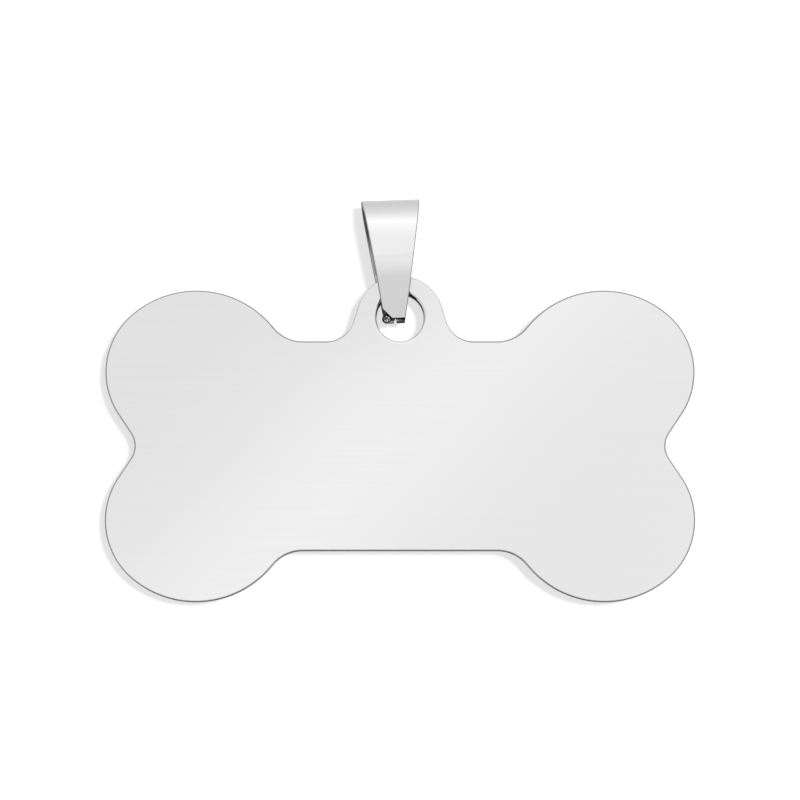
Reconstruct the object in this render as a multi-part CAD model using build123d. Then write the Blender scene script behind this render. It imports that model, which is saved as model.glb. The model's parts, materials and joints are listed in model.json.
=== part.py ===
from build123d import *
import math
import os

# Bone-shaped pet identity tag of polished stainless steel, hanging from a folded strip bail.
# X runs along the bone, Y through the plate with its front face towards -Y, and Z is up.
# The origin is the centre of the bail's fold, where the ring of a collar passes through.
# Lengths are millimetres and angles are degrees.

# Plate: a flat bone stamped from sheet
plate_length = 50.0
plate_height = 26.45
plate_thickness = 1.2
crown_radius = 8.4
end_radius = 6.5
lobe_blend_angle = 50.0
shaft_height = 17.8
shoulder_radius = 3.2
flank_angle = 34.7
waist_radius = 1.5
edge_break = 0.12

# Eyelet: the ring-shaped tab on the middle of the top edge
hole_radius = 2.0
eyelet_rim = 1.58
eyelet_rise = 1.99
eyelet_flare = 2.8
hole_round = 0.3

# Bail: one tapered strip, folded over and closed inside the eyelet
strip_thickness = 0.5
strip_edge_round = 0.1
fold_radius = 1.95
fold_height = 7.65
fold_width = 5.0
bend_radius = 7.0
toe_side_play = 1.07
toe_meeting_height = 0.28
toe_gap = 0.04
leg_clearance = 0.16
back_toe_extra = 0.45
corner_clip = 0.72
notch_width = 0.3
notch_depth = 0.4
notch_offset = 0.05
bead_radius = 0.42
bead_standoff = 0.45
bead_bearing = 254.0

# How the loose bail sits in the eyelet at rest
bail_offset = -0.46
bail_lean = -2.2
bail_twist = 2.4

eyelet_radius = hole_radius + eyelet_rim
toe_width = 2 * (hole_radius - toe_side_play)
middle_radius = fold_radius + strip_thickness / 2
half_strip = strip_thickness / 2


def polar(centre, radius, angle):
    """Point at a radius and an angle from a centre."""
    return (
        centre[0] + radius * math.cos(math.radians(angle)),
        centre[1] + radius * math.sin(math.radians(angle)),
    )


def bearing(start, end):
    """Angle of the line from one point to another."""
    return math.degrees(math.atan2(end[1] - start[1], end[0] - start[0]))


def arc(centre, radius, start_angle, end_angle):
    """Arc about a centre, from one angle to another."""
    return CenterArc(centre, radius, start_angle, end_angle - start_angle)


def lobe_centres():
    """Centres of the two arcs of a lobe: its crown and its end."""
    blend_step = crown_radius - end_radius
    crown_centre = (
        plate_length / 2 - end_radius - blend_step * math.cos(math.radians(lobe_blend_angle)),
        plate_height / 2 - crown_radius,
    )
    return crown_centre, polar(crown_centre, blend_step, lobe_blend_angle)


def shoulder_centre():
    """Centre of the hollow where the shaft's edge runs out into the lobe's crown."""
    crown_centre, _ = lobe_centres()
    height = shaft_height / 2 + shoulder_radius
    reach = math.sqrt((crown_radius + shoulder_radius) ** 2 - (height - crown_centre[1]) ** 2)
    return (crown_centre[0] - reach, height)


def lobe_quarter(shaft_start):
    """Upper right quarter of the bone, from a point on the shaft's edge round one lobe to the waist."""
    shaft_edge = shaft_height / 2
    crown_centre, end_centre = lobe_centres()
    shoulder = shoulder_centre()
    shoulder_end = bearing(shoulder, crown_centre)

    # Notch between the two lobes of an end: straight flanks, and a round bottom on the middle line
    flank_start = polar(end_centre, end_radius, -flank_angle)
    flank_cosine = math.cos(math.radians(flank_angle))
    flank_sine = math.sin(math.radians(flank_angle))
    waist_round = min(waist_radius, 0.95 * flank_start[1] / flank_sine)
    waist_x = flank_start[0] + (waist_round - flank_start[1] * flank_sine) / flank_cosine
    waist_centre = (waist_x, 0)
    flank_end = polar(waist_centre, waist_round, 180 - flank_angle)

    return [
        Line((shaft_start, shaft_edge), (shoulder[0], shaft_edge)),
        arc(shoulder, shoulder_radius, -90, shoulder_end),
        arc(crown_centre, crown_radius, shoulder_end + 180, lobe_blend_angle),
        arc(end_centre, end_radius, lobe_blend_angle, -flank_angle),
        Line(flank_start, flank_end),
        arc(waist_centre, waist_round, 180 - flank_angle, 180),
    ]


def plate_outline():
    """Closed outline of the bone and its eyelet, about the bone's centre."""
    shaft_edge = shaft_height / 2
    eyelet_centre = (0, shaft_edge + eyelet_rise)
    # The flare's foot stays on the straight of the shaft's edge, short of the shoulder
    eyelet_top = eyelet_radius + eyelet_rise
    widest_flare = (shoulder_centre()[0] ** 2 / eyelet_top - eyelet_radius + eyelet_rise) / 2
    flare = min(eyelet_flare, 0.9 * widest_flare)
    flare_run = math.sqrt((eyelet_radius + flare) ** 2 - (flare - eyelet_rise) ** 2)
    flare_centre = (flare_run, shaft_edge + flare)
    flare_angle = bearing(eyelet_centre, flare_centre)

    eyelet_half = [
        arc(eyelet_centre, eyelet_radius, 90, flare_angle),
        arc(flare_centre, flare, flare_angle + 180, 270),
    ]
    upper = lobe_quarter(flare_run)
    lower = [mirror(edge, about=Plane.XZ) for edge in lobe_quarter(0)]
    half = eyelet_half + upper + lower
    return half + [mirror(edge, about=Plane.YZ) for edge in half]


def make_tag_plate():
    """Bone plate standing in the XZ plane, with the middle of its eyelet at the origin."""
    eyelet_height = shaft_height / 2 + eyelet_rise
    standing = Plane.XZ * Pos(0, -eyelet_height) * make_face(plate_outline())
    plate = extrude(standing, plate_thickness / 2, both=True)
    outline_edges = plate.faces().filter_by(Axis.Y).edges()
    widest_round = 0.45 * plate_thickness
    plate = chamfer(outline_edges, min(edge_break, widest_round))

    plate -= Rot(X=90) * Cylinder(hole_radius, 2 * plate_thickness)
    hole_edges = [edge for edge in plate.edges().filter_by(GeomType.CIRCLE) if edge.is_closed]
    return fillet(hole_edges, min(hole_round, widest_round))


def toe_slope():
    """Lean of the lower legs that lets them pass the eyelet's rim and meet inside its hole."""
    taper = (fold_width - toe_width) / (fold_height + middle_radius)
    half_width = (toe_width + taper * hole_radius) / 2
    strip_edge = half_width + abs(bail_offset)
    rim_radius = hole_radius + hole_round
    rim_reach = math.sqrt(rim_radius**2 - strip_edge**2) - toe_meeting_height
    twist_room = half_width * math.sin(math.radians(abs(bail_twist)))
    half_opening = plate_thickness / 2 + leg_clearance + twist_room - toe_gap / 2
    return math.degrees(math.atan(half_opening / rim_reach))


def make_bail():
    """Folded strip and the weld bead that closes it, with the middle of the fold at the origin."""
    slope = toe_slope()
    sine = math.sin(math.radians(slope))
    cosine = math.cos(math.radians(slope))
    meeting = toe_meeting_height - fold_height

    # Middle line of one leg in side view, as (out, up), from the fold down to the toe
    toe_out = toe_gap / 2 + half_strip * cosine
    toe_up = meeting - half_strip * sine
    bend_out = middle_radius - bend_radius * (1 - cosine)
    bend_up = toe_up + (bend_out - toe_out) * cosine / sine
    bend_start = bend_up + bend_radius * sine
    front_low = toe_up - half_strip * sine
    back_low = front_low - back_toe_extra

    def leg_side(extra):
        """Side view of one leg and its half of the fold, as thick as the strip."""
        toe = (toe_out - extra * sine / cosine, toe_up - extra)
        middle_line = [
            arc((0, 0), middle_radius, 90, 0),
            Line((middle_radius, 0), (middle_radius, bend_start)),
            arc((middle_radius - bend_radius, bend_start), bend_radius, 0, -slope),
            Line((bend_out, bend_up), toe),
        ]
        return trace(middle_line, strip_thickness)

    top = middle_radius + half_strip
    taper = (fold_width - toe_width) / 2 / (top - front_low)

    def half_width(level):
        """Half the strip's width at a height."""
        return fold_width / 2 - taper * (top - level)

    def leg_front(low, cut):
        """Front view of one leg, tapered from the fold to the toe, less a cut at its end."""
        blank = Polygon(
            (-half_width(low), low),
            (half_width(low), low),
            (half_width(top), top),
            (-half_width(top), top),
            align=None,
        )
        return blank - cut

    corner = -half_width(front_low)
    clip = Polygon(
        (corner - corner_clip, front_low - corner_clip),
        (corner + 2 * corner_clip, front_low - corner_clip),
        (corner - corner_clip, front_low + 2 * corner_clip),
        align=None,
    )
    notch = Polygon(
        (notch_offset - notch_width / 2, back_low),
        (notch_offset + notch_width / 2, back_low),
        (notch_offset, back_low + notch_depth),
        align=None,
    )

    def leg(side_view, front_view):
        """Solid strip that has both views."""
        along = extrude(Plane.YZ * side_view, fold_width, both=True)
        across = extrude(Plane.XZ * front_view, 2 * top, both=True)
        return along & across

    back_leg = leg(leg_side(back_toe_extra), leg_front(back_low, notch))
    front_leg = leg(mirror(leg_side(0), about=Plane.YZ), leg_front(front_low, clip))
    strip = back_leg + front_leg
    sides = strip.faces().filter_by(lambda face: abs(face.normal_at().X) > 0.9)
    long_edges = [edge for edge in sides.edges() if edge.length > 2 * strip_thickness]
    strip = fillet(long_edges, min(strip_edge_round, 0.3 * strip_thickness))

    # The bead lies on the inner face of the back toe, against the clipped corner of the front one
    clip_middle = (corner + corner_clip / 2, front_low + corner_clip / 2)
    bead_x, bead_z = polar(clip_middle, bead_standoff, bead_bearing)
    bead_y = toe_gap / 2 + (bead_z - meeting) * sine / cosine
    bead = Pos(bead_x, bead_y, bead_z) * Rot(X=90 - slope) * Rot(Z=180) * Sphere(bead_radius) - strip
    return strip, bead


bail_strip, weld_bead = make_bail()
attitude = Rot(Y=bail_lean) * Rot(Z=bail_twist)
toe_level_point = (attitude * Pos(0, 0, -fold_height)).position
eyelet_middle = toe_level_point - Vector(bail_offset, 0, 0)

parts = {
    "tag_plate": Pos(eyelet_middle) * make_tag_plate(),
    "bail_strip": attitude * bail_strip,
    "weld_bead": attitude * weld_bead,
}
os.makedirs("parts", exist_ok=True)
for name, solid in parts.items():
    export_step(solid, f"parts/{name}.step")
    size = solid.bounding_box().size
    print(f"{name}: {solid.volume:.2f} mm3, {size.X:.2f} x {size.Y:.2f} x {size.Z:.2f} mm")
ring_axis = (attitude * Pos(1, 0, 0)).position
print("eyelet middle", [round(value, 4) for value in eyelet_middle])
print("ring axis", [round(value, 5) for value in ring_axis], "toe slope", round(toe_slope(), 2))
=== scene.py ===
# %% [markdown]
# # A bone-shaped pet tag of polished steel
# The tag is a flat bone stamped from stainless sheet. It hangs by its eyelet from a bail, a tapered
# strip that is folded over and closed with a bead of weld. The imported frame holds these three solids
# at their real size, so the lesson starts there: it loads them, keeps their box to print at the end,
# and reads from the record where the fold and the eyelet are.

# %% Load the frame
import json
import math

import bmesh
import bpy
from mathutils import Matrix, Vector, noise


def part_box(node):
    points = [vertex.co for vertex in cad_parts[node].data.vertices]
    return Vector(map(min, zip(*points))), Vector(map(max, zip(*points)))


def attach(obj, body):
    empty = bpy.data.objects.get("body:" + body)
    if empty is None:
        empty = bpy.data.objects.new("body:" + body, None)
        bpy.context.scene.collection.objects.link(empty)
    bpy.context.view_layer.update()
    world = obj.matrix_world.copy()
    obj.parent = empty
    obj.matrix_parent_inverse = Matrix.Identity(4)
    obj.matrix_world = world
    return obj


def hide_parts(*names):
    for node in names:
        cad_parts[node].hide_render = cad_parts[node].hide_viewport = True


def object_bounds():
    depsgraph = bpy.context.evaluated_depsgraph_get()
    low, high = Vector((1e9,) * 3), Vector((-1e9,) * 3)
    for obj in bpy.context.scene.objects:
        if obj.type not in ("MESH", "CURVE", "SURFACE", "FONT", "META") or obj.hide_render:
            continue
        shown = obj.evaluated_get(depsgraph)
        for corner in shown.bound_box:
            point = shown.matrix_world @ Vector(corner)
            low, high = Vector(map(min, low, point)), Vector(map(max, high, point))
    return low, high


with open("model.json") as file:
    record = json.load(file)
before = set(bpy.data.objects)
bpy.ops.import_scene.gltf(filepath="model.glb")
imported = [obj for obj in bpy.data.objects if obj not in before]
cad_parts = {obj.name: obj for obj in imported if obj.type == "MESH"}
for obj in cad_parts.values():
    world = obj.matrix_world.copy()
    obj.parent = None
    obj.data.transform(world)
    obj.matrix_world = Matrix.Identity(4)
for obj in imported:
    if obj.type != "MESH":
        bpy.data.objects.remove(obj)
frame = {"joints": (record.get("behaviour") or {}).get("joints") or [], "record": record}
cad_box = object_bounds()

mm = 0.001
scene = bpy.context.scene
plate_low, plate_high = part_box("tag_plate")
eyelet = Vector(frame["joints"][0]["pos_m"])
loop_mount = frame["record"]["mounts"][0]
ring_axis = Vector(loop_mount["axis"])
print("plate", [round(side / mm, 2) for side in plate_high - plate_low], "mm")
print("eyelet at", [round(value / mm, 2) for value in eyelet], "mm")

# %% [markdown]
# ## Helpers for the finishes
# Colours are easiest to pick as sRGB hex values, but shaders count in linear light, so one function
# turns one into the other. A second function adds a node, sets it up and links it, which keeps every
# node tree below as short as a recipe, and a third starts a material with an empty tree. A Mix node has
# several inputs of the same name, one for each kind of value, so its colours are found by number.

# %% Colour, node and material helpers
steel_grey = "#E7E7E7"
colour_a = 6
colour_b = 7
mixed_colour = 2


def linear(hex_colour):
    """Linear colour of an sRGB hex value."""
    channels = [int(hex_colour[start : start + 2], 16) / 255 for start in (1, 3, 5)]
    return [c / 12.92 if c <= 0.04045 else ((c + 0.055) / 1.055) ** 2.4 for c in channels] + [1.0]


def add(tree, kind, inputs=None, **settings):
    """Adds a node with its settings. Each input is a value or the socket that feeds it."""
    node = tree.nodes.new(kind)
    for name, value in settings.items():
        setattr(node, name, value)
    for key, value in (inputs or {}).items():
        if isinstance(value, bpy.types.NodeSocket):
            tree.links.new(value, node.inputs[key])
        else:
            node.inputs[key].default_value = value
    return node


def empty_material(name):
    """New material, and its node tree with nothing in it."""
    material = bpy.data.materials.new(name)
    material.use_nodes = True
    material.node_tree.nodes.clear()
    return material, material.node_tree


print("steel grey", steel_grey, "is", round(linear(steel_grey)[0], 3), "in linear light")

# %% [markdown]
# ## Finish of the faces: mirror-polished stainless sheet
# The bone's faces are buffed until they mirror the room, so nearly all of their look is reflection. A
# metallic shader with a low roughness does that. What keeps it from looking like a perfect mirror is
# what buffing leaves: fine hairlines along the bone, and a slow ripple in the sheet that bends
# reflections a little. Both come from noise in object coordinates, sized in millimetres.

# %% Polished sheet
noise_low = 0.3  # nearly all values of a noise texture lie between these two
noise_high = 0.7
buffed_low = 0.07  # roughness of buffed steel, which its hairlines vary a little
buffed_high = 0.11
hairline_depth = 0.001 * mm
hairline_strength = 0.1


def polished_sheet():
    """Mirror-polished stainless steel: light grey, sharp reflections, faint lengthwise hairlines."""
    material, tree = empty_material("stainless_sheet_mirror_polished")
    hairline_gap = 0.3 * mm  # real ones lie about 0.03 mm apart, too fine to show in the render
    hairline_run = 14 * mm
    ripple_run = 16 * mm
    ripple_depth = 0.02 * mm
    ripple_strength = 0.3
    place = add(tree, "ShaderNodeTexCoord").outputs["Object"]
    stretch = (1 / hairline_run, 1 / hairline_gap, 1 / hairline_gap)
    lines = add(tree, "ShaderNodeMapping", {"Vector": place, "Scale": stretch}).outputs[0]
    fine = {"Vector": lines, "Scale": 1.0, "Detail": 3.0}
    hairlines = add(tree, "ShaderNodeTexNoise", fine).outputs[0]
    slow = {"Vector": place, "Scale": 1 / ripple_run, "Detail": 0.0}
    ripple = add(tree, "ShaderNodeTexNoise", slow).outputs[0]

    wavy = {"Height": ripple, "Strength": ripple_strength, "Distance": ripple_depth}
    sheet = add(tree, "ShaderNodeBump", wavy).outputs[0]
    scratched = {"Height": hairlines, "Strength": hairline_strength, "Distance": hairline_depth}
    buffed = add(tree, "ShaderNodeBump", {**scratched, "Normal": sheet}).outputs[0]
    span = {"Value": hairlines, "From Min": noise_low, "From Max": noise_high}
    gloss = {**span, "To Min": buffed_low, "To Max": buffed_high}
    roughness = add(tree, "ShaderNodeMapRange", gloss).outputs[0]
    look = {"Base Color": linear(steel_grey), "Metallic": 1.0, "Roughness": roughness, "Normal": buffed}
    shader = add(tree, "ShaderNodeBsdfPrincipled", look)
    add(tree, "ShaderNodeOutputMaterial", {"Surface": shader.outputs[0]})
    return material


sheet_steel = polished_sheet()
print("made", sheet_steel.name)

# %% [markdown]
# ## Finish of the plate's edge: sheared and tumbled steel
# A stamping die shears the sheet, and tumbling then smooths the burrs away. The edge stays duller than
# the faces, with short streaks through the thickness, and that is why the bone has a thin dark outline
# on white. The streaks have to follow the outline round its curves, so they read the plate's UV map,
# in which U is the distance along the edge and V the distance through the sheet, both in metres. Round
# the eyelet the edge is painted lighter, a painted highlight, so there the outline all but disappears.
# The wall of the small hole is painted dark, as painted shade.

# %% Sheared edge
streak_gap = 0.2 * mm  # real streaks are about half as wide, and would not show
streak_run = 1.5 * mm


def sheared_edge():
    """Sheared and tumbled stainless steel: mid grey, half dull, with streaks through the thickness."""
    material, tree = empty_material("stainless_edge_sheared_tumbled")
    streak_depth = 0.01 * mm
    streak_strength = 0.3
    dull_low = 0.3  # roughness, which the streaks vary
    dull_high = 0.42
    hole_reach = 2.7 * mm  # the hole's wall lies within this distance of the eyelet's middle
    # distances from the eyelet's middle of the painted highlight on the edge
    glint_full_at = 4.0 * mm
    glint_end_at = 6.5 * mm
    place = add(tree, "ShaderNodeUVMap", uv_map="edge").outputs[0]
    stretch = (1 / streak_gap, 1 / streak_run, 1.0)
    lines = add(tree, "ShaderNodeMapping", {"Vector": place, "Scale": stretch}).outputs[0]
    fine = {"Vector": lines, "Scale": 1.0, "Detail": 2.0}
    streaks = add(tree, "ShaderNodeTexNoise", fine).outputs[0]

    spot = add(tree, "ShaderNodeTexCoord").outputs["Object"]
    apart = add(tree, "ShaderNodeVectorMath", {0: spot, 1: eyelet}, operation="DISTANCE")
    from_eyelet = apart.outputs["Value"]
    # painted highlight: the edge is painted lighter round the eyelet
    fading = {"Value": from_eyelet, "From Min": glint_end_at, "From Max": glint_full_at}
    near = add(tree, "ShaderNodeMapRange", fading).outputs[0]
    past_hole = {0: from_eyelet, 1: hole_reach}
    outside = add(tree, "ShaderNodeMath", past_hole, operation="GREATER_THAN").outputs[0]
    painted_glint = add(tree, "ShaderNodeMath", {0: near, 1: outside}, operation="MULTIPLY").outputs[0]

    streaked = {"Factor": streaks, colour_a: linear("#A0A0A0"), colour_b: linear("#BCBCBC")}
    tone = add(tree, "ShaderNodeMix", streaked, data_type="RGBA").outputs[mixed_colour]
    # painted shade: the hole's wall, and its edge past the dull turn, are painted dark
    hole_shaded = {"Factor": outside, colour_a: linear("#5C5C5C"), colour_b: tone}
    tumbled = add(tree, "ShaderNodeMix", hole_shaded, data_type="RGBA").outputs[mixed_colour]
    bright = {"Factor": painted_glint, colour_a: tumbled, colour_b: linear("#E2E2E2")}
    glinted_edge = add(tree, "ShaderNodeMix", bright, data_type="RGBA").outputs[mixed_colour]
    span = {"Value": streaks, "From Min": noise_low, "From Max": noise_high}
    gloss = {**span, "To Min": dull_low, "To Max": dull_high}
    roughness = add(tree, "ShaderNodeMapRange", gloss).outputs[0]
    cut = {"Height": streaks, "Strength": streak_strength, "Distance": streak_depth}
    bump = add(tree, "ShaderNodeBump", cut).outputs[0]
    look = {"Base Color": glinted_edge, "Metallic": 1.0, "Roughness": roughness, "Normal": bump}
    shader = add(tree, "ShaderNodeBsdfPrincipled", look)
    add(tree, "ShaderNodeOutputMaterial", {"Surface": shader.outputs[0]})
    return material


edge_steel = sheared_edge()
print("made", edge_steel.name)

# %% [markdown]
# ## The bone's outline
# The outline is a chain of arcs: the eyelet, a flare, a hollow shoulder, two arcs round a lobe, and the
# waist between the lobes, with straight runs where arcs don't meet. An arc needs only a centre, a
# radius and two angles, so the chain is worked out from a few sizes, sampled every few degrees, and
# mirrored. Each sample keeps the direction that faces out of the plate, which the edge needs next.

# %% Sizes of the bone
shaft_half = 8.9 * mm
eyelet_rise = 1.99 * mm
bone_middle = eyelet.z - shaft_half - eyelet_rise
bone_centre = Vector((eyelet.x, eyelet.y, bone_middle))
bone_length = plate_high.x - plate_low.x
bone_height = 2 * (bone_middle - plate_low.z)
crown_radius = 8.4 * mm
end_radius = 6.5 * mm
lobe_blend = math.radians(50)
shoulder_radius = 3.2 * mm
flank = math.radians(33.7)
waist_radius = 1.9 * mm
eyelet_radius = plate_high.z - eyelet.z
eyelet_crown = 3.75 * mm  # the eyelet's outer arc, a little wider than a ring round the hole
eyelet_flank = math.radians(17)
flare_radius = 2.4 * mm
hole_radius = 2.0 * mm
print("bone", round(bone_length / mm, 2), "x", round(bone_height / mm, 2), "mm")

# %% Arcs
arc_step = math.radians(3)


def on_circle(centre, radius, angle):
    """Point of a circle in the plate's plane."""
    return (centre[0] + radius * math.cos(angle), centre[1] + radius * math.sin(angle))


def sample_arc(centre, radius, start, end):
    """Points of an arc, each with its outward direction. An arc that turns left is hollow."""
    count = max(2, math.ceil(abs(end - start) / arc_step))
    angles = [start + (end - start) * index / count for index in range(count + 1)]
    facing = -1 if end > start else 1
    return [
        (on_circle(centre, radius, angle), (facing * math.cos(angle), facing * math.sin(angle)))
        for angle in angles
    ]


hole_centre = (0, shaft_half + eyelet_rise)
hole_arc = sample_arc(hole_centre, hole_radius, math.tau, 0)[:-1]
# Out of the plate is into the hole
hole_outline = [(point, (-out_x, -out_z)) for point, (out_x, out_z) in hole_arc]
print("hole outline has", len(hole_outline), "points")

# %% Chain of arcs
touching = 0.001 * mm  # points closer than this are one point


def right_half():
    """Outline from the top of the eyelet clockwise to the middle of the bottom edge."""
    blend_step = crown_radius - end_radius
    crown = (
        bone_length / 2 - end_radius - blend_step * math.cos(lobe_blend),
        bone_height / 2 - crown_radius,
    )
    lobe_end = on_circle(crown, blend_step, lobe_blend)
    shoulder_height = shaft_half + shoulder_radius
    shoulder_reach = math.sqrt((crown_radius + shoulder_radius) ** 2 - (shoulder_height - crown[1]) ** 2)
    shoulder = (crown[0] - shoulder_reach, shoulder_height)
    shoulder_end = math.atan2(crown[1] - shoulder[1], crown[0] - shoulder[0])
    flank_start = on_circle(lobe_end, end_radius, -flank)
    waist_x = flank_start[0] + (waist_radius - flank_start[1] * math.sin(flank)) / math.cos(flank)
    crown_rise = eyelet_rise + eyelet_radius - eyelet_crown
    ring = (0, shaft_half + crown_rise)
    flare_climb = (crown_rise - flare_radius) * math.sin(eyelet_flank)
    flare_reach = (eyelet_crown + flare_radius + flare_climb) / math.cos(eyelet_flank)
    flare = (flare_reach, shaft_half + flare_radius)
    quarter = math.pi / 2
    lobe = [
        *sample_arc(shoulder, shoulder_radius, -quarter, shoulder_end),
        *sample_arc(crown, crown_radius, shoulder_end + math.pi, lobe_blend),
        *sample_arc(lobe_end, end_radius, lobe_blend, -flank),
    ]
    lower_lobe = [((x, -z), (out_x, -out_z)) for (x, z), (out_x, out_z) in reversed(lobe)]
    return [
        *sample_arc(ring, eyelet_crown, quarter, eyelet_flank),
        *sample_arc(flare, flare_radius, eyelet_flank + math.pi, 3 * quarter),
        *lobe,
        *sample_arc((waist_x, 0), waist_radius, math.pi - flank, math.pi + flank),
        *lower_lobe,
    ]


def without_doubles(samples):
    """Samples less those that lie on the one before, where two arcs meet."""
    kept = []
    for point, out in samples:
        if not kept or math.dist(point, kept[-1][0]) > touching:
            kept.append((point, out))
    return kept


right = right_half()
left = [((-x, z), (-out_x, out_z)) for (x, z), (out_x, out_z) in reversed(right)]
bone_outline = without_doubles(right + left)[:-1]
print("bone outline has", len(bone_outline), "points")

# %% [markdown]
# ## The bone plate
# A flat plate with a rounded edge could be an extruded curve with a bevel, but a bevel averages the
# normals, and a mirror finish shows that as a smear along the face. Here every outline sample becomes
# a rib of points that runs from the front face round the edge to the back, with its exact normal. The
# front edge is rounder than the back one, because the punch drew the sheet in there.

# %% Section of the edge
half_sheet = (plate_high.y - plate_low.y) / 2
front_round = 0.17 * mm
back_round = 0.12 * mm
round_steps = 8


def edge_section(front, back):
    """Rib of the edge as (inset, depth, turn): turn 0 faces front, a half turn faces back."""
    quarter_turns = [math.pi / 2 * step / round_steps for step in range(round_steps + 1)]
    nose = [
        (front * (1 - math.sin(turn)), -half_sheet + front * (1 - math.cos(turn)), turn)
        for turn in quarter_turns
    ]
    heel = [
        (back * (1 - math.sin(turn)), half_sheet - back * (1 - math.cos(turn)), math.pi - turn)
        for turn in reversed(quarter_turns)
    ]
    return nose + heel


bone_section = edge_section(front_round, back_round)
print("a rib of the edge has", len(bone_section), "points")

# %% [markdown]
# The ribs are joined into quads. Each quad gets the sheared finish if it is turned far enough from the
# faces, and its place along and through the edge goes into the UV map.

# %% Band round the bone
dull_from = math.radians(10)  # past this turn of the edge, the sheared finish starts


def add_edge(mesh, uv, outline, sections, dull_turns, normals):
    """Joins a rib at each outline sample into a band, and returns its front and back rings."""
    ribs = []
    for ((x, z), (out_x, out_z)), section in zip(outline, sections):
        rib = []
        for inset, depth, turn in section:
            place = Vector((x - inset * out_x, depth, z - inset * out_z))
            rib.append(mesh.verts.new(bone_centre + place))
            side = math.sin(turn)
            normals.append((side * out_x, -math.cos(turn), side * out_z))
        ribs.append(rib)
    run = 0.0
    for rib, following, sample, next_sample, section, dull_turn in zip(
        ribs, ribs[1:] + ribs[:1], outline, outline[1:] + outline[:1], sections, dull_turns
    ):
        next_run = run + math.dist(sample[0], next_sample[0])
        for level in range(len(section) - 1):
            face = mesh.faces.new((rib[level], rib[level + 1], following[level + 1], following[level]))
            _, depth, turn = section[level]
            _, next_depth, next_turn = section[level + 1]
            face.material_index = 1 if dull_turn < (turn + next_turn) / 2 < math.pi - dull_turn else 0
            corners = ((run, depth), (run, next_depth), (next_run, next_depth), (next_run, depth))
            for loop, corner in zip(face.loops, corners):
                loop[uv].uv = corner
        run = next_run
    return [rib[0] for rib in ribs], [rib[-1] for rib in ribs]


plate_mesh = bmesh.new()
edge_uv = plate_mesh.loops.layers.uv.new("edge")
plate_normals = []
bone_sections = [bone_section] * len(bone_outline)
bone_dull = [dull_from] * len(bone_outline)
outer_rings = add_edge(plate_mesh, edge_uv, bone_outline, bone_sections, bone_dull, plate_normals)
print("band round the bone has", len(plate_mesh.faces), "faces")

# %% [markdown]
# The hole's edge is worn roundest at its top, where the bail rubs. The dark paint of its wall, a painted
# shade, reaches furthest round the edge there. Once it has its band, the two flat faces are filled
# between the rings.

# %% Hole and faces
hole_round = 0.2 * mm
worn_round = 0.46 * mm
wall_from = math.radians(88)  # the wheel buffs the hole's edge as far as its wall, which is painted dark as shade
shade_top_from = math.radians(25)  # the painted shade starts sooner at its top, where the edge is roundest


def ring_edges(mesh, ring):
    """Edges that join the points of a ring."""
    return [mesh.edges.get((a, b)) for a, b in zip(ring, ring[1:] + ring[:1])]


hole_sections = []
hole_dull = []
for _, (_, out_z) in hole_outline:
    wear_and_shade = ((1 - out_z) / 2) ** 2
    hole_sections.append(edge_section(hole_round + wear_and_shade * (worn_round - hole_round), back_round))
    hole_dull.append(wall_from + wear_and_shade * (shade_top_from - wall_from))
hole_rings = add_edge(plate_mesh, edge_uv, hole_outline, hole_sections, hole_dull, plate_normals)
for outer, inner in zip(outer_rings, hole_rings):
    border = ring_edges(plate_mesh, outer) + ring_edges(plate_mesh, inner)
    bmesh.ops.triangle_fill(plate_mesh, use_beauty=True, edges=border)
bmesh.ops.recalc_face_normals(plate_mesh, faces=plate_mesh.faces)
open_edges = sum(1 for edge in plate_mesh.edges if not edge.is_manifold)
print("plate", len(plate_mesh.faces), "faces,", open_edges, "open edges")

# %% [markdown]
# The exact normals are stored as custom normals, so the flat stays flat to the very edge. The plate then
# rides on the tag's body, and the solid it stands for is hidden.

# %% Plate object
def finish_piece(name, mesh, materials):
    """Object at the origin from a finished mesh, smooth, with its materials."""
    for material in materials:
        mesh.materials.append(material)
    mesh.shade_smooth()
    piece = bpy.data.objects.new(name, mesh)
    scene.collection.objects.link(piece)
    return piece


plate_data = bpy.data.meshes.new("bone_plate")
plate_mesh.to_mesh(plate_data)
plate_mesh.free()
bone_plate = finish_piece("bone_plate", plate_data, [sheet_steel, edge_steel])
plate_data.normals_split_custom_set_from_vertices(plate_normals)
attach(bone_plate, "tag")
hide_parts("tag_plate")
print("bone_plate has", len(plate_data.vertices), "points")

# %% [markdown]
# ## The strip's middle line
# Seen from the side, the strip is one line of constant thickness: a long back toe, a leg, the fold, a
# second leg and a shorter front toe. The toes pass the rim of the eyelet and meet in its hole. Each leg
# is a chain of tangent arcs and straights, so the lower bend's place follows from the line of the toe.
# Mirror metal shows where a curve starts at once, so the fold eases into the leg by a wide, short arc,
# and every arc gets a point each one or two degrees.

# %% Sizes of the strip
strip_width = 5.0 * mm
strip_thickness = 0.5 * mm
half_strip = strip_thickness / 2
strip_edge_round = 0.1 * mm
fold_inner = loop_mount["dims"]["r_mm"] * mm
fold_middle = fold_inner + half_strip
ease_radius = 15 * mm
ease_turn = math.radians(4)
bend_radius = 7.0 * mm
toe_slope = math.radians(32.17)
toe_gap = 0.04 * mm
toe_meeting = -7.37 * mm
back_toe_extra = 0.45 * mm
print("strip", strip_width / mm, "x", strip_thickness / mm, "mm, fold", round(fold_inner / mm, 2), "mm")

# %% Middle line of the folded strip
path_step = math.radians(1.5)
toe_step = 0.1 * mm


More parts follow.
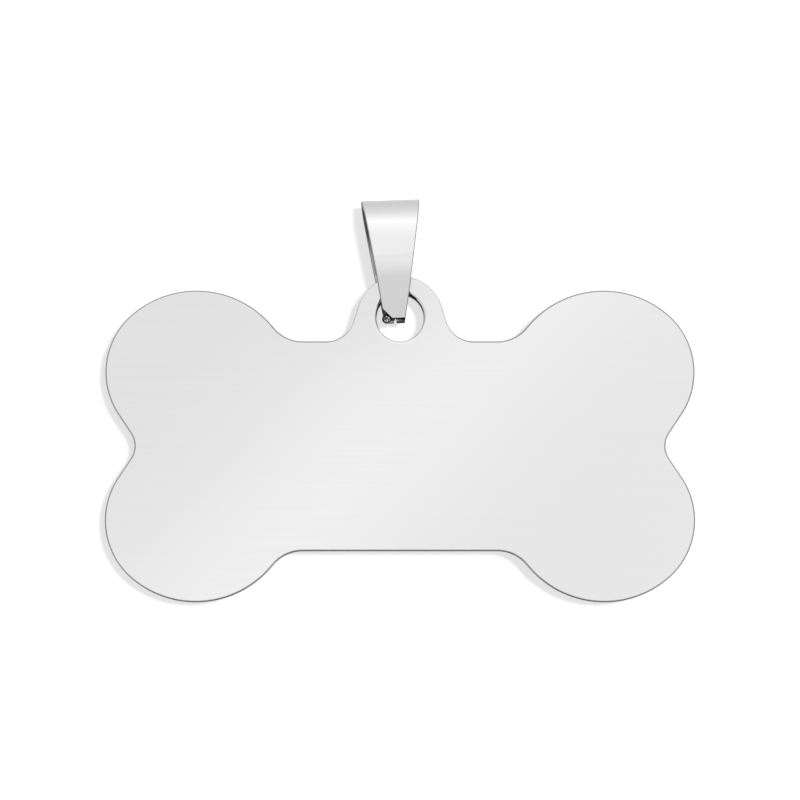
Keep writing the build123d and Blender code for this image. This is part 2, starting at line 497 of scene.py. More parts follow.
def leg_line(extra):
    """Side view of one leg as (out, up), from the top of the fold to the toe."""
    end_out = toe_gap / 2 + half_strip * math.cos(toe_slope)
    end_up = toe_meeting - half_strip * math.sin(toe_slope)
    bend_out = fold_middle - bend_radius * (1 - math.cos(toe_slope))
    bend_up = end_up + (bend_out - end_out) / math.tan(toe_slope)
    bend_centre = (fold_middle - bend_radius, bend_up + bend_radius * math.sin(toe_slope))
    fold_round = (fold_middle - ease_radius * (1 - math.cos(ease_turn))) / math.cos(ease_turn)
    ease_centre = on_circle((0, 0), fold_round - ease_radius, ease_turn)
    points = []
    for centre, radius, start, stop in (
        ((0, 0), fold_round, math.pi / 2, ease_turn),
        (ease_centre, ease_radius, ease_turn, 0),
        (bend_centre, bend_radius, 0, -toe_slope),
    ):
        count = math.ceil(abs(stop - start) / path_step)
        for index in range(count + 1):
            point = on_circle(centre, radius, start + (stop - start) * index / count)
            if not points or math.dist(point, points[-1]) > touching:
                points.append(point)
    toe = (end_out - extra * math.tan(toe_slope), end_up - extra)
    toe_start = points[-1]
    toe_count = math.ceil(math.dist(toe, toe_start) / toe_step)
    for index in range(1, toe_count + 1):
        share = index / toe_count
        points.append(tuple(a + (b - a) * share for a, b in zip(toe_start, toe)))
    return points


back_leg = leg_line(back_toe_extra)[::-1]
front_leg = [(-out, up) for out, up in leg_line(0)[1:]]
strip_line = back_leg + front_leg
strip_run = sum(math.dist(a, b) for a, b in zip(strip_line, strip_line[1:]))
print("strip line", len(strip_line), "points,", round(strip_run / mm, 2), "mm long")

# %% [markdown]
# ## Finish of the bail: polished strip
# The bail is cut from thin strip and buffed on its outside, with hairlines along the strip and over the
# fold. The slit sides and the inside never meet the buffing wheel, so they stay dull. Near the toes the
# inside is dark, where the weld has heated it, and in the fold it is painted dark, as painted shade. The
# finish finds all this by three attributes that the sweep stores on the strip: how far along it, across
# it and through it a point lies. Each place then becomes a mask, which is 1 there and 0 elsewhere.

# %% Places on the strip
half_run = strip_run / 2
heat_start = half_run - 0.9 * mm  # all four are distances from the middle of the fold
heat_full = half_run - 0.27 * mm
# where the inside is painted dark, as painted shade in the fold
fold_shade_full = 2.94 * mm
fold_shade_end = 5.67 * mm
inside_from = 0.1 * half_strip  # both are heights over the middle of the thickness
inside_full = -0.9 * half_strip


def strip_masks(tree, along, across, through):
    """Masks of the heated toes, the painted shade in the fold, the inside and the slit sides."""
    from_middle = add(tree, "ShaderNodeMath", {0: along, 1: half_run}, operation="SUBTRACT").outputs[0]
    from_fold = add(tree, "ShaderNodeMath", {0: from_middle}, operation="ABSOLUTE").outputs[0]
    heated = {"Value": from_fold, "From Min": heat_start, "From Max": heat_full}
    heat = add(tree, "ShaderNodeMapRange", heated).outputs[0]
    folded = {"Value": from_fold, "From Min": fold_shade_end, "From Max": fold_shade_full}
    fold = add(tree, "ShaderNodeMapRange", folded, interpolation_type="SMOOTHSTEP").outputs[0]
    inner = {"Value": through, "From Min": inside_from, "From Max": inside_full}
    inside = add(tree, "ShaderNodeMapRange", inner).outputs[0]
    reach = add(tree, "ShaderNodeMath", {0: across}, operation="ABSOLUTE").outputs[0]
    side = {"Value": reach, "From Min": strip_width / 2 - strip_edge_round, "From Max": strip_width / 2}
    slit = add(tree, "ShaderNodeMapRange", side).outputs[0]
    return heat, fold, inside, slit


print("heat starts", round(heat_start / mm, 2), "mm from the middle of the fold")

# %% Polished strip
def polished_strip():
    """Buffed stainless strip: sharp outside with hairlines, dull slit sides, dull and tinted inside with
    painted shade in the fold.
    """
    material, tree = empty_material("stainless_strip_buffed")
    hairline_gap = 0.25 * mm  # coarser than the real 0.03 mm, so that they show
    hairline_run = 10 * mm
    dull_roughness = 0.35
    along, across, through = [
        add(tree, "ShaderNodeAttribute", attribute_name=name).outputs["Fac"]
        for name in ("along", "across", "through")
    ]
    heat, fold, inside, slit = strip_masks(tree, along, across, through)
    patterns = []
    for beside, stretch, detail in (
        (across, (1 / hairline_run, 1 / hairline_gap, 1.0), 3.0),
        (through, (1 / streak_gap, 1 / streak_run, 1.0), 2.0),
    ):
        place = add(tree, "ShaderNodeCombineXYZ", {0: along, 1: beside}).outputs[0]
        lines = add(tree, "ShaderNodeMapping", {"Vector": place, "Scale": stretch}).outputs[0]
        fine = {"Vector": lines, "Scale": 1.0, "Detail": detail}
        patterns.append(add(tree, "ShaderNodeTexNoise", fine).outputs[0])
    hairlines, streaks = patterns

    tinted = {"Factor": heat, colour_a: linear("#CCCCCC"), colour_b: linear("#5E5C5A")}
    dull = add(tree, "ShaderNodeMix", tinted, data_type="RGBA").outputs[mixed_colour]
    # painted shade: the inside is painted dark in the fold
    fold_shading = {"Factor": fold, colour_a: dull, colour_b: linear("#4A4A4A")}
    shaded = add(tree, "ShaderNodeMix", fold_shading, data_type="RGBA").outputs[mixed_colour]
    faced = {"Factor": inside, colour_a: linear(steel_grey), colour_b: shaded}
    tone = add(tree, "ShaderNodeMix", faced, data_type="RGBA").outputs[mixed_colour]
    streaked = {"Factor": streaks, colour_a: linear("#5A5A5A"), colour_b: linear("#8E8E8E")}
    cut_grey = add(tree, "ShaderNodeMix", streaked, data_type="RGBA").outputs[mixed_colour]
    sided = {"Factor": slit, colour_a: tone, colour_b: cut_grey}
    edged = add(tree, "ShaderNodeMix", sided, data_type="RGBA").outputs[mixed_colour]
    span = {"Value": hairlines, "From Min": noise_low, "From Max": noise_high}
    gloss = {**span, "To Min": buffed_low, "To Max": buffed_high}
    buffed = add(tree, "ShaderNodeMapRange", gloss).outputs[0]
    plain = add(tree, "ShaderNodeMath", {0: slit, 1: inside}, operation="MAXIMUM").outputs[0]
    rough = {"Factor": plain, "A": buffed, "B": dull_roughness}
    roughness = add(tree, "ShaderNodeMix", rough).outputs[0]
    scratched = {"Height": hairlines, "Strength": hairline_strength, "Distance": hairline_depth}
    bump = add(tree, "ShaderNodeBump", scratched).outputs[0]
    look = {"Base Color": edged, "Metallic": 1.0, "Roughness": roughness, "Normal": bump}
    shader = add(tree, "ShaderNodeBsdfPrincipled", look)
    add(tree, "ShaderNodeOutputMaterial", {"Surface": shader.outputs[0]})
    return material


strip_steel = polished_strip()
print("made", strip_steel.name)

# %% [markdown]
# ## The bail in Geometry Nodes
# The strip's section is the same everywhere, and only its width changes with height, so the bail is a
# rule and suits Geometry Nodes. The tree sweeps a filleted rectangle along the line, pulls both sides
# in below the top to make the taper, clips a corner off the front toe, nicks the back toe, and turns
# the result by the twist and lean with which the bail hangs. Its inputs are named, so that another
# bail needs other numbers only.

# %% Inputs of the bail's tree
bail_tree = bpy.data.node_groups.new("folded_bail", "GeometryNodeTree")
bail_inputs = {
    "NodeSocketGeometry": ["Geometry"],
    "NodeSocketFloat": [
        "Width", "Thickness", "Edge Round", "Fold Top", "Taper", "Clip Level", "Clip Reach",
    ],
    "NodeSocketVector": ["Nick Place", "Nick Size", "Twist", "Lean"],
    "NodeSocketMaterial": ["Material"],
}
for kind, names in bail_inputs.items():
    for name in names:
        bail_tree.interface.new_socket(name, in_out="INPUT", socket_type=kind)
bail_tree.interface.new_socket("Geometry", in_out="OUTPUT", socket_type="NodeSocketGeometry")
given = add(bail_tree, "NodeGroupInput").outputs
print("the bail's tree takes", sum(len(names) for names in bail_inputs.values()), "inputs")

# %% [markdown]
# Before the sweep, the points of the line store how far along they are, and the points of the section
# how far across and through. The sweep carries all three over to the strip, where the finish reads them.

# %% Sweep
corner_steps = 4
length = add(bail_tree, "GeometryNodeSplineParameter").outputs["Length"]
stored = {"Geometry": given["Geometry"], "Name": "along", "Value": length}
line = add(bail_tree, "GeometryNodeStoreNamedAttribute", stored)
blank = {"Width": given["Width"], "Height": given["Thickness"]}
rectangle = add(bail_tree, "GeometryNodeCurvePrimitiveQuadrilateral", blank)
corner = {"Curve": rectangle.outputs[0], "Radius": given["Edge Round"], "Count": corner_steps}
section = add(bail_tree, "GeometryNodeFilletCurve", corner, mode="POLY")
position = add(bail_tree, "GeometryNodeInputPosition").outputs[0]
place = add(bail_tree, "ShaderNodeSeparateXYZ", {0: position}).outputs
for name, value in (("across", place["X"]), ("through", place["Y"])):
    stored = {"Geometry": section.outputs[0], "Name": name, "Value": value}
    section = add(bail_tree, "GeometryNodeStoreNamedAttribute", stored)
sweep = {"Curve": line.outputs[0], "Profile Curve": section.outputs[0], "Fill Caps": True}
swept = add(bail_tree, "GeometryNodeCurveToMesh", sweep).outputs[0]
print("the sweep takes", len(bail_tree.nodes), "nodes")

# %% [markdown]
# The taper moves each point towards the middle, by more the lower it lies. The clip is a slanting line
# across the front toe, and points beyond it are moved onto it.

# %% Taper and clipped corner
drop = add(bail_tree, "ShaderNodeMath", {0: given["Fold Top"], 1: place["Z"]}, operation="SUBTRACT")
narrower = {0: drop.outputs[0], 1: given["Taper"]}
pull = add(bail_tree, "ShaderNodeMath", narrower, operation="MULTIPLY")
side = add(bail_tree, "ShaderNodeMath", {0: place["X"]}, operation="SIGN")
shift = add(bail_tree, "ShaderNodeMath", {0: side.outputs[0], 1: pull.outputs[0]}, operation="MULTIPLY")
pulled = add(bail_tree, "ShaderNodeMath", {0: place["X"], 1: shift.outputs[0]}, operation="SUBTRACT")
pulled_in = {0: pulled.outputs[0], 1: place["Y"], 2: place["Z"]}
taper_place = add(bail_tree, "ShaderNodeCombineXYZ", pulled_in)
taper_move = {"Geometry": swept, "Position": taper_place.outputs[0]}
tapered = add(bail_tree, "GeometryNodeSetPosition", taper_move).outputs[0]

on_front = add(bail_tree, "FunctionNodeCompare", {0: place["Y"], 1: 0.0}, operation="LESS_THAN")
above = add(bail_tree, "ShaderNodeMath", {0: place["Z"], 1: given["Clip Level"]}, operation="SUBTRACT")
slanting = {0: given["Clip Reach"], 1: above.outputs[0]}
cut_line = add(bail_tree, "ShaderNodeMath", slanting, operation="SUBTRACT")
cut = add(bail_tree, "ShaderNodeMath", {0: place["X"], 1: cut_line.outputs[0]}, operation="MAXIMUM")
cut_place = add(bail_tree, "ShaderNodeCombineXYZ", {0: cut.outputs[0], 1: place["Y"], 2: place["Z"]})
clip = {"Geometry": tapered, "Position": cut_place.outputs[0], "Selection": on_front.outputs[0]}
clipped = add(bail_tree, "GeometryNodeSetPosition", clip).outputs[0]
print("with taper and clip", len(bail_tree.nodes), "nodes")

# %% [markdown]
# The nick is the point of a diamond that a boolean takes out of the back toe. The trimmed strip is then
# turned twice, and ends as real geometry with its material.

# %% Nick, turns and material
cube = add(bail_tree, "GeometryNodeMeshCube", {"Size": (math.sqrt(0.5), 1.0, math.sqrt(0.5))})
on_edge = {"Geometry": cube.outputs[0], "Rotation": (0, math.pi / 4, 0)}
diamond = add(bail_tree, "GeometryNodeTransform", on_edge).outputs[0]
wedge = {"Geometry": diamond, "Translation": given["Nick Place"], "Scale": given["Nick Size"]}
nick = add(bail_tree, "GeometryNodeTransform", wedge).outputs[0]
trimmed = add(bail_tree, "GeometryNodeMeshBoolean", {0: clipped, 1: nick}, operation="DIFFERENCE")
hung = trimmed
for turn in ("Twist", "Lean"):
    turned = {"Geometry": hung.outputs[0], "Rotation": given[turn]}
    hung = add(bail_tree, "GeometryNodeTransform", turned)
whole = add(bail_tree, "GeometryNodeRealizeInstances", {0: hung.outputs[0]})
dress = {"Geometry": whole.outputs[0], "Material": given["Material"]}
dressed = add(bail_tree, "GeometryNodeSetMaterial", dress)
add(bail_tree, "NodeGroupOutput", {0: dressed.outputs[0]})
print("tree", bail_tree.name, "has", len(bail_tree.nodes), "nodes")

# %% [markdown]
# The mount's axis in the record is the line of a ring through the fold. Its heading gives the bail's
# twist about Z, and its rise gives the lean, so the dressed bail hangs just as the solid does. Sizes go
# in by each socket's identifier before the curve is evaluated, and the result becomes a plain mesh.

# %% Sizes of the bail
twist = math.asin(ring_axis.y)
lean = -math.atan2(ring_axis.z, ring_axis.x)
toe_width = 1.86 * mm
fold_top = fold_inner + strip_thickness
front_low = toe_meeting - strip_thickness * math.sin(toe_slope)
back_low = front_low - back_toe_extra
corner_clip = 0.72 * mm
nick_offset = 0.05 * mm
nick_width = 0.3 * mm
nick_depth = 0.4 * mm
nick_length = 4 * mm  # reaches right through the toe
sizes = {
    "Width": strip_width,
    "Thickness": strip_thickness,
    "Edge Round": strip_edge_round,
    "Fold Top": fold_top,
    "Taper": (strip_width - toe_width) / 2 / (fold_top - front_low),
    "Clip Level": front_low,
    "Clip Reach": corner_clip - toe_width / 2,
    "Nick Place": (nick_offset, 0, back_low),
    "Nick Size": (nick_width, nick_length, 2 * nick_depth),
    "Twist": (0, 0, twist),
    "Lean": (0, lean, 0),
    "Material": strip_steel,
}
print("bail twist", round(math.degrees(twist), 2), "lean", round(math.degrees(lean), 2), "degrees")

# %% Bail mesh
def baked_mesh(piece):
    """Plain mesh of an object with its modifiers applied."""
    bpy.context.view_layer.update()
    graph = bpy.context.evaluated_depsgraph_get()
    return bpy.data.meshes.new_from_object(piece.evaluated_get(graph), depsgraph=graph)


curve = bpy.data.curves.new("strip_line", "CURVE")
curve.dimensions = "3D"
spline = curve.splines.new("POLY")
spline.points.add(len(strip_line) - 1)
for point, (out, up) in zip(spline.points, strip_line):
    point.co = (0, out, up, 1)
swept_line = bpy.data.objects.new("strip_line", curve)
scene.collection.objects.link(swept_line)
modifier = swept_line.modifiers.new("bail", "NODES")
modifier.node_group = bail_tree
for socket in bail_tree.interface.items_tree:
    if socket.in_out == "INPUT" and socket.name in sizes:
        modifier[socket.identifier] = sizes[socket.name]
bail_data = baked_mesh(swept_line)
bpy.data.objects.remove(swept_line)
print("bail mesh has", len(bail_data.polygons), "faces")

# %% [markdown]
# A weighted normal pass keeps the wide faces flat beside their small round edges. The toes are flat and
# cut, so their faces are shaded flat.

# %% Bail object
crease = math.radians(40)
toe_top = front_low + corner_clip + toe_step
rough_bail = bpy.data.objects.new("rough_bail", bail_data)
scene.collection.objects.link(rough_bail)
bail_data.shade_smooth()
bail_data.set_sharp_from_angle(angle=crease)
for face in bail_data.polygons:
    face.use_smooth = face.center.z > toe_top
weighting = rough_bail.modifiers.new("flat_faces", "WEIGHTED_NORMAL")
weighting.keep_sharp = True
folded_strip = bpy.data.objects.new("folded_strip", baked_mesh(rough_bail))
bpy.data.objects.remove(rough_bail)
scene.collection.objects.link(folded_strip)
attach(folded_strip, "bail")
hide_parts("bail_strip")
print("folded_strip has", len(folded_strip.data.vertices), "points")

# %% [markdown]
# ## The weld bead
# One touch of the torch leaves a small drop of metal on the toes. It freezes in rings, so it isn't a
# ball: it is a low dome with ripples that run round it and a slightly uneven skin. A sphere's points
# are moved by a ripple rule and by smooth noise, always inwards, so the bead stays in its solid's box.

# %% Weld metal
def weld_metal():
    """Weld metal as it froze: grey, half dull, with a mottled film of oxide."""
    material, tree = empty_material("stainless_weld_as_frozen")
    film = 0.2 * mm
    clean_from = 0.5
    clean_full = 0.62
    weld_low = 0.1  # roughness, which the film varies
    weld_high = 0.22
    place = add(tree, "ShaderNodeTexCoord").outputs["Object"]
    mottled = {"Vector": place, "Scale": 1 / film, "Detail": 2.0}
    patches = add(tree, "ShaderNodeTexNoise", mottled).outputs[0]
    bare = {"Value": patches, "From Min": clean_from, "From Max": clean_full}
    clean = add(tree, "ShaderNodeMapRange", bare).outputs[0]
    filmed = {"Factor": clean, colour_a: linear("#4C4A48"), colour_b: linear("#DCDBD8")}
    tone = add(tree, "ShaderNodeMix", filmed, data_type="RGBA").outputs[mixed_colour]
    span = {"Value": patches, "From Min": noise_low, "From Max": noise_high}
    gloss = {**span, "To Min": weld_low, "To Max": weld_high}
    roughness = add(tree, "ShaderNodeMapRange", gloss).outputs[0]
    look = {"Base Color": tone, "Metallic": 1.0, "Roughness": roughness}
    shader = add(tree, "ShaderNodeBsdfPrincipled", look)
    add(tree, "ShaderNodeOutputMaterial", {"Surface": shader.outputs[0]})
    return material


weld_steel = weld_metal()
print("made", weld_steel.name)

# %% Bead
bead_low, bead_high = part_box("weld_bead")
bead_radius = (bead_high.x - bead_low.x) / 2
bead_centre = bead_low + Vector((1, 1, 1)) * bead_radius
ripple_count = 5
ripple_depth = 0.05  # both depths are shares of the radius
skin_depth = 0.1
skin_scale = 1.7
skin_shift = Vector((3, 1, 7))  # another shift gives another skin
bead_mesh = bmesh.new()
bmesh.ops.create_icosphere(bead_mesh, subdivisions=5, radius=1.0)
for vert in bead_mesh.verts:
    fall = math.acos(max(-1.0, min(1.0, -vert.co.y)))
    ripple = 0.5 - 0.5 * math.cos(ripple_count * 2 * fall)
    skin = 0.5 + 0.5 * noise.noise(vert.co * skin_scale + skin_shift)
    vert.co *= bead_radius * (1 - ripple_depth * ripple - skin_depth * skin)
    vert.co += bead_centre
bead_data = bpy.data.meshes.new("weld_drop")
bead_mesh.to_mesh(bead_data)
bead_mesh.free()
weld_drop = finish_piece("weld_drop", bead_data, [weld_steel])
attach(weld_drop, "bail")
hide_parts("weld_bead")
print("weld_drop radius", round(bead_radius / mm, 2), "mm")

# %% [markdown]
# ## Camera
# The tag is seen square on from a short distance, with a long lens. The camera sits a few degrees below
# the tag's middle, because the upper wall of the eyelet's hole shows as a dark crescent.

# %% Camera
scene.view_settings.view_transform = "Standard"
view_distance = 300 * mm
view_width = 67.8 * mm
view_rise = math.radians(-3)
middle_above_bone = 3.9 * mm
view_middle = Vector((eyelet.x, plate_low.y, bone_middle + middle_above_bone))
camera_data = bpy.data.cameras.new("camera")
camera_data.lens = camera_data.sensor_width * view_distance / view_width
camera_data.clip_start = 10 * mm
camera = bpy.data.objects.new("camera", camera_data)
scene.collection.objects.link(camera)
towards = Vector((0, math.cos(view_rise), -math.sin(view_rise)))
camera.location = view_middle - towards * view_distance
camera.rotation_euler = towards.to_track_quat("-Z", "Y").to_euler()
scene.camera = camera
print("lens", round(camera_data.lens, 1), "mm")

# %% [markdown]
# ## Light for bright metal
# A mirror shows its surroundings, so lighting polished steel means building something for it to
# reflect. Photographers put it in a tent: white cloth in front and above, and dark card below to draw
# the edges. Here the tent is a large sphere that only reflections see. The brightness of its cloth is
# listed by the turn about X, from below (-90) over the front (0) to the top (90), and stays near 1, so
# that the steel renders about as bright as its colour says. The flat plate reflects only the small
# patch of cloth behind the camera, so a panel hangs there, with a soft slanting band across it and a
# slightly dimmer patch above its middle. Two soft panels hang at the sides, so that the plate shades
# from one end to the other when it is seen from a slant.

# %% Levels of the tent
brightest = 1.3
cloth_by_degrees = {
    -180: 0.8, -155: 0.3, -130: 0.1, -90: 0.05, -80: 0.15, -72: 0.5, -65: 0.77, -29: 0.81,
    -23: 0.83, -17: 0.89, -12: 0.945, -6: 1.0, -1: 1.03, 5: 1.1, 9: 1.13, 12: 1.18, 16: 1.24,
    25: 1.24, 40: 1.12, 56: 0.98, 74: 0.87, 93: 0.81, 116: 0.757, 165: 0.77, 180: 0.8,
}
panel_by_slant = {
    -0.08: 0.93, -0.042: 0.95, -0.021: 1.0, -0.003: 1.1, 0.024: 1.1, 0.042: 1.01, 0.08: 1.0,
}
side_by_reach = {0.0: 0.6, 0.54: 0.6, 0.6: 0.68, 0.72: 1.0, 0.8: 0.85, 0.9: 0.62, 1.0: 0.6}
print("cloth", len(cloth_by_degrees), "panel", len(panel_by_slant), "sides", len(side_by_reach), "levels")

# %% [markdown]
# The direction from the middle of the tent says which part of the cloth a reflection meets. Ahead is -Y,
# where the camera stands. On the panel the direction is given as two slopes: how far right, and how far
# above the camera, it runs for each step ahead.

# %% Directions in the tent
tent_material, tent_tree = empty_material("light_tent")
tent_material.cycles.emission_sampling = "NONE"
least_ahead = 0.1  # keeps the slopes finite at the sides and behind
camera_rise = -math.tan(view_rise)
place = add(tent_tree, "ShaderNodeTexCoord").outputs["Object"]
direction = add(tent_tree, "ShaderNodeVectorMath", {0: place}, operation="NORMALIZE").outputs[0]
tent_x, tent_y, tent_z = add(tent_tree, "ShaderNodeSeparateXYZ", {0: direction}).outputs
ahead = add(tent_tree, "ShaderNodeMath", {0: tent_y, 1: -1.0}, operation="MULTIPLY").outputs[0]
step = add(tent_tree, "ShaderNodeMath", {0: ahead, 1: least_ahead}, operation="MAXIMUM").outputs[0]
right_of = add(tent_tree, "ShaderNodeMath", {0: tent_x, 1: step}, operation="DIVIDE").outputs[0]
rise = add(tent_tree, "ShaderNodeMath", {0: tent_z, 1: step}, operation="DIVIDE").outputs[0]
above = add(tent_tree, "ShaderNodeMath", {0: rise, 1: camera_rise}, operation="SUBTRACT").outputs[0]
on_panel = add(tent_tree, "ShaderNodeCombineXYZ", {0: right_of, 1: above}).outputs[0]
turn = add(tent_tree, "ShaderNodeMath", {0: tent_z, 1: ahead}, operation="ARCTAN2").outputs[0]
aside = add(tent_tree, "ShaderNodeMath", {0: tent_x}, operation="ABSOLUTE").outputs[0]
print("directions take", len(tent_tree.nodes), "nodes")

# %% [markdown]
# Each list of levels becomes a colour ramp. A ramp holds values from 0 to 1 at places from 0 to 1, so
# both are scaled to fit, and the levels are scaled back after it.

# %% Ramps of the tent
band_slant = math.radians(42)
slant_x = add(tent_tree, "ShaderNodeMath", {0: right_of, 1: math.cos(band_slant)}, operation="MULTIPLY")
slant_z = {0: above, 1: -math.sin(band_slant), 2: slant_x.outputs[0]}
slanted = add(tent_tree, "ShaderNodeMath", slant_z, operation="MULTIPLY_ADD").outputs[0]
levels = []
for value, unit, stops in (
    (turn, math.radians(1), cloth_by_degrees),
    (slanted, 1.0, panel_by_slant),
    (aside, 1.0, side_by_reach),
):
    low = min(stops)
    high = max(stops)
    span = {"Value": value, "From Min": low * unit, "From Max": high * unit}
    share = add(tent_tree, "ShaderNodeMapRange", span).outputs[0]
    cloth = add(tent_tree, "ShaderNodeValToRGB", {0: share})
    ramp = cloth.color_ramp
    ramp.interpolation = "CARDINAL"
    while len(ramp.elements) < len(stops):
        ramp.elements.new(0.5)
    for element, (at, level) in zip(ramp.elements, stops.items()):
        element.position = (at - low) / (high - low)
        element.color = [level / brightest] * 3 + [1.0]
    levels.append(cloth.outputs[0])
cloth_level, band_level, side_level = levels
print("made", len(levels), "ramps")

# %% [markdown]
# The cloth gives way to the side panels at the sides, and both give way to the front panel near the
# camera's own direction. The tent is for the metal only: light that the metal would pass on to the wall
# is cut off, because it would draw bright patches there.

# %% Cloth and side panels
right_gain = 1.08  # the right side is a little brighter than the left
gain_reach = 0.5
side_from = 0.3
side_full = 0.65
gain = {
    "Value": tent_x,
    "From Min": -gain_reach,
    "From Max": gain_reach,
    "To Min": brightest,
    "To Max": right_gain * brightest,
}
side_gain = add(tent_tree, "ShaderNodeMapRange", gain).outputs[0]
sides = add(tent_tree, "ShaderNodeMath", {0: side_level, 1: side_gain}, operation="MULTIPLY").outputs[0]
cloth = add(tent_tree, "ShaderNodeMath", {0: cloth_level, 1: brightest}, operation="MULTIPLY").outputs[0]
sideways = {"Value": aside, "From Min": side_from, "From Max": side_full}
to_side = add(tent_tree, "ShaderNodeMapRange", sideways).outputs[0]
around = add(tent_tree, "ShaderNodeMix", {"Factor": to_side, "A": cloth, "B": sides}).outputs[0]
print("right side", right_gain, "times as bright as the left")

# %% Front panel
panel_edge = 0.105
panel_end = 0.135
dip_rise = 0.028
dip_core = 0.0085
dip_reach = 0.0325
dip_level = 0.92
dip_spot = {0: on_panel, 1: (0, dip_rise, 0)}
from_dip = add(tent_tree, "ShaderNodeVectorMath", dip_spot, operation="DISTANCE").outputs["Value"]
dip = {
    "Value": from_dip,
    "From Min": dip_core,
    "From Max": dip_reach,
    "To Min": dip_level * brightest,
    "To Max": brightest,
}
dimmed = add(tent_tree, "ShaderNodeMapRange", dip, interpolation_type="SMOOTHSTEP").outputs[0]
panel = add(tent_tree, "ShaderNodeMath", {0: band_level, 1: dimmed}, operation="MULTIPLY").outputs[0]
off_axis = add(tent_tree, "ShaderNodeVectorMath", {0: on_panel}, operation="LENGTH").outputs["Value"]
rim = {"Value": off_axis, "From Min": panel_edge, "From Max": panel_end}
past_panel = add(tent_tree, "ShaderNodeMapRange", rim).outputs[0]
behind = add(tent_tree, "ShaderNodeMath", {0: tent_y, 1: 0.0}, operation="GREATER_THAN").outputs[0]
no_panel = add(tent_tree, "ShaderNodeMath", {0: past_panel, 1: behind}, operation="MAXIMUM").outputs[0]
glow = add(tent_tree, "ShaderNodeMix", {"Factor": no_panel, "A": panel, "B": around}).outputs[0]
print("panel ends", round(math.degrees(math.atan(panel_end)), 1), "degrees from the camera")

# %% Tent object
tent_radius = 2.0
bounces = add(tent_tree, "ShaderNodeLightPath").outputs["Diffuse Depth"]
in_metal = add(tent_tree, "ShaderNodeMath", {0: bounces, 1: 0.5}, operation="LESS_THAN").outputs[0]
seen = add(tent_tree, "ShaderNodeMath", {0: glow, 1: in_metal}, operation="MULTIPLY").outputs[0]
shine = add(tent_tree, "ShaderNodeEmission", {"Strength": seen})
add(tent_tree, "ShaderNodeOutputMaterial", {"Surface": shine.outputs[0]})
tent_mesh = bmesh.new()
bmesh.ops.create_icosphere(tent_mesh, subdivisions=5, radius=tent_radius)
tent_data = bpy.data.meshes.new("light_tent")
tent_mesh.to_mesh(tent_data)
tent_mesh.free()
light_tent = finish_piece("light_tent", tent_data, [tent_material])
light_tent.visible_camera = False
light_tent.visible_diffuse = False
light_tent.visible_shadow = False
print("light tent", 2 * tent_radius, "m across")

# %% [markdown]
# ## White wall, floor, lamp and world
# The tag hangs just in front of a white wall. Part of the wall's brightness is its own, so that it is
# white without strong light, and a soft lamp from the right adds the rest and casts the faint
# shadow. The wall faces one way only: from behind it is clear, so the back of the tag can be seen. The
# world is white to the camera and in reflections, and gives the stage a little fill.

# %% White paint
def stage_white(name, glow, one_sided):
    """Matt white paint with some light of its own, clear from behind if it is one-sided."""
    material, tree = empty_material(name)
    material.cycles.emission_sampling = "NONE"
    paint = add(tree, "ShaderNodeBsdfDiffuse", {"Color": linear("#F2F2F2")})
    own = add(tree, "ShaderNodeEmission", {"Strength": glow})
    surface = add(tree, "ShaderNodeAddShader", {0: paint.outputs[0], 1: own.outputs[0]})
    if one_sided:
        behind = add(tree, "ShaderNodeNewGeometry").outputs["Backfacing"]
        clear = add(tree, "ShaderNodeBsdfTransparent")
        sides = {0: behind, 1: surface.outputs[0], 2: clear.outputs[0]}
        surface = add(tree, "ShaderNodeMixShader", sides)
    add(tree, "ShaderNodeOutputMaterial", {"Surface": surface.outputs[0]})
    return material


wall_glow = 0.72
floor_glow = 0.86
wall_white = stage_white("wall_white", wall_glow, True)
floor_white = stage_white("floor_white", floor_glow, False)
print("made", wall_white.name, "and", floor_white.name)

# %% Wall and floor
wall_gap = 0.3 * mm
wall_y = cad_box[1].y + wall_gap
floor_z = -55 * mm
stage_half = 0.6


def stage_sheet(name, corners, material):
    """Flat sheet of the stage that neither reflections nor the other sheet's paint see."""
    data = bpy.data.meshes.new(name)
    data.from_pydata(corners, [], [(0, 1, 2, 3)])
    sheet = finish_piece(name, data, [material])
    sheet.visible_glossy = False
    sheet.visible_diffuse = False


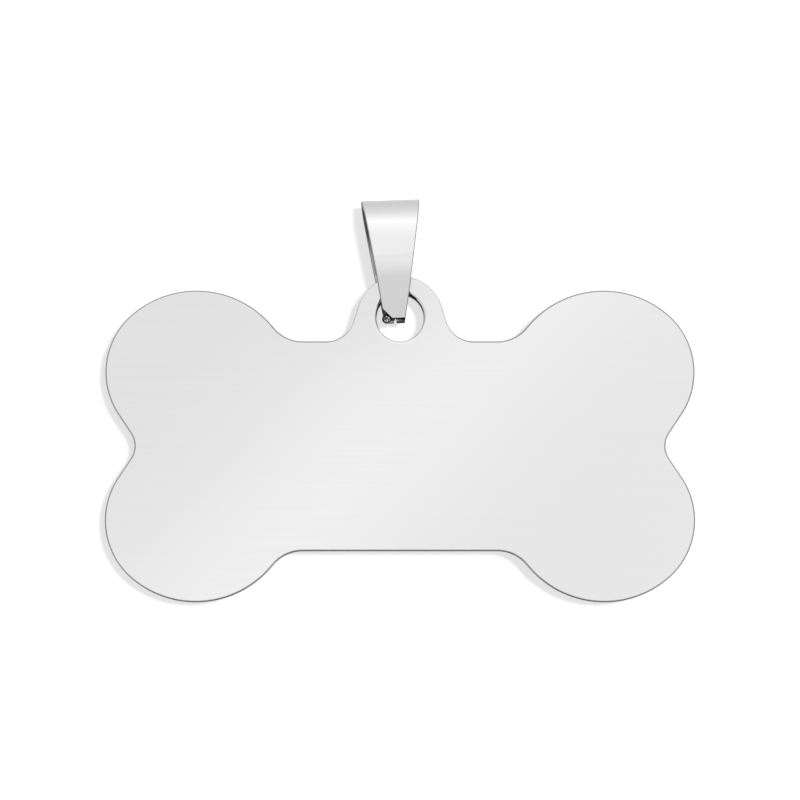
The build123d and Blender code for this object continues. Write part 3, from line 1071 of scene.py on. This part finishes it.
low = -stage_half
high = stage_half
wall_corners = [(low, wall_y, floor_z), (high, wall_y, floor_z), (high, wall_y, high), (low, wall_y, high)]
floor_corners = [(low, low, floor_z), (high, low, floor_z), (high, high, floor_z), (low, high, floor_z)]
stage_sheet("wall", wall_corners, wall_white)
stage_sheet("floor", floor_corners, floor_white)
print("wall", round(wall_y / mm, 1), "mm behind the tag's middle plane")

# %% Lamp
lamp_distance = 1.0
lamp_right = math.tan(math.radians(12.5))
lamp_up = math.tan(math.radians(5))
lamp_data = bpy.data.lights.new("right_lamp", "AREA")
lamp_data.shape = "DISK"
lamp_data.size = 0.14
lamp_data.energy = 4.5
lamp = bpy.data.objects.new("right_lamp", lamp_data)
lamp_from = Vector((lamp_right, -1, lamp_up)).normalized()
lamp.location = view_middle + lamp_from * lamp_distance
lamp.rotation_euler = lamp_from.to_track_quat("Z", "Y").to_euler()
lamp.visible_glossy = False
scene.collection.objects.link(lamp)
print("lamp", lamp_data.energy, "W")

# %% World
fill = 0.1
world = bpy.data.worlds.new("white_world")
scene.world = world
world.use_nodes = True
sky = world.node_tree
sky.nodes.clear()
rays = add(sky, "ShaderNodeLightPath").outputs
direct = {0: rays["Is Camera Ray"], 1: rays["Is Glossy Ray"]}
mirrored = add(sky, "ShaderNodeMath", direct, operation="MAXIMUM").outputs[0]
through = {0: mirrored, 1: rays["Is Transmission Ray"]}
looked_at = add(sky, "ShaderNodeMath", through, operation="MAXIMUM").outputs[0]
strength = add(sky, "ShaderNodeMapRange", {"Value": looked_at, "To Min": fill, "To Max": 1.0}).outputs[0]
white = add(sky, "ShaderNodeBackground", {"Color": linear("#FFFFFF"), "Strength": strength})
add(sky, "ShaderNodeOutputWorld", {"Surface": white.outputs[0]})
print("fill", fill)

# %% [markdown]
# ## The box of the solids
# The dressed tag must be as large as the solids. The last line prints the box of the solids.

# %% Sizes and finish
print("CAD box", [round(side / mm, 3) for side in cad_box[1] - cad_box[0]])
